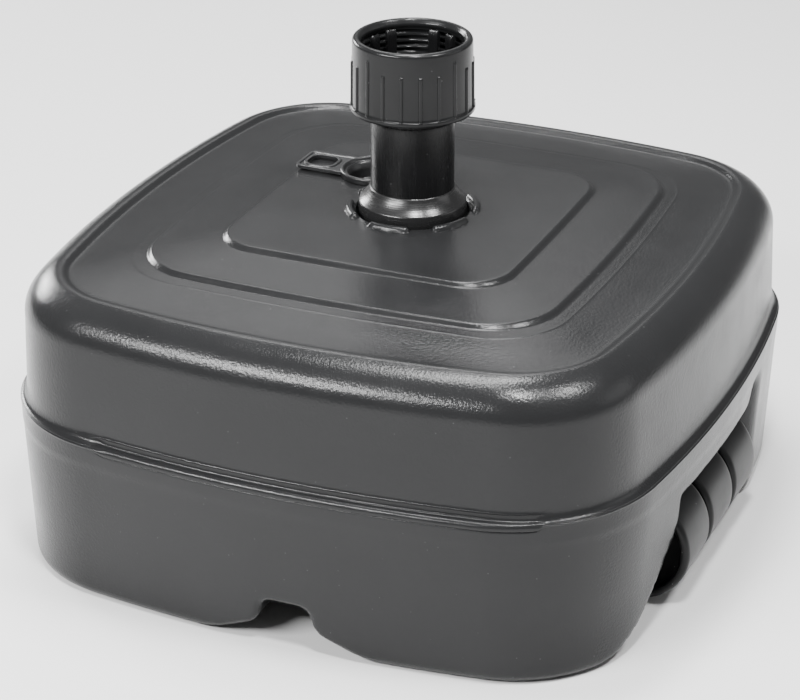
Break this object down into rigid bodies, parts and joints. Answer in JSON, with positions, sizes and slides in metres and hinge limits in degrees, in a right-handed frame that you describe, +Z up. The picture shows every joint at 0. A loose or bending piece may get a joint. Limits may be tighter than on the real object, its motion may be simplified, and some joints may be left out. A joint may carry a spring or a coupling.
{
  "type": "parasol base",
  "caption": "Fillable square parasol base with stepped lid, upright pole tube, ribbed clamp nut, filler plug with pull tab, and a row of rollers in one side",
  "frame": {"origin": "on the pole tube's axis, at the surface the base stands on", "axes": "+Z up along the pole tube, -Y the front with the hand channel, +X the side with the rollers"},
  "size_m": [0.47, 0.484, 0.3432],
  "materials": {
    "tank_plastic": "satin, fine grain",
    "tube_plastic": "satin gloss",
    "collar_plastic": "satin gloss",
    "nut_plastic": "gloss",
    "plug_plastic": "satin",
    "roller_plastic": "satin",
    "axle_steel": "zinc plated",
    "seal_rubber": "matte"
  },
  "bodies": {
    "base": {"tank": "tank_plastic", "upright_tube": "tube_plastic", "seat_collar": "collar_plastic", "clamp_collet": "tube_plastic", "tube_lock_nut": "tube_plastic", "lock_gasket": "seal_rubber", "roller_axle": "axle_steel", "axle_washers": "roller_plastic", "axle_cap_front": "roller_plastic", "axle_cap_rear": "roller_plastic"},
    "nut_carrier": {"captive_ring": "nut_plastic"},
    "clamp_nut": {"clamp_nut": "nut_plastic"},
    "filler_plug": {"filler_plug": "plug_plastic"},
    "roller_front": {"roller_front": "roller_plastic"},
    "roller_middle": {"roller_middle": "roller_plastic"},
    "roller_rear": {"roller_rear": "roller_plastic"}
  },
  "joints": [
    {"name": "nut_travel", "type": "slide", "parent": "base", "child": "nut_carrier", "axis": [0, 0, 1], "range_m": [-0.0045, 0.0075]},
    {"name": "nut_spin", "type": "hinge", "parent": "nut_carrier", "child": "clamp_nut", "pos_m": [0, 0, 0.3], "axis": [0, 0, 1], "range_deg": [-360, 600]},
    {"name": "plug_lift", "type": "slide", "parent": "base", "child": "filler_plug", "axis": [0, 0, 1], "range_m": [0, 0.05]},
    {"name": "roller_front_spin", "type": "hinge", "parent": "base", "child": "roller_front", "pos_m": [0.195, -0.0645, 0.0405], "axis": [0, 1, 0], "continuous": true},
    {"name": "roller_middle_spin", "type": "hinge", "parent": "base", "child": "roller_middle", "pos_m": [0.195, -0.011, 0.0405], "axis": [0, 1, 0], "continuous": true},
    {"name": "roller_rear_spin", "type": "hinge", "parent": "base", "child": "roller_rear", "pos_m": [0.195, 0.0425, 0.0405], "axis": [0, 1, 0], "continuous": true}
  ],
  "couplings": [
    {"joint": "nut_travel", "follows": "nut_spin", "m_per_rad": 0.0007162}
  ]
}
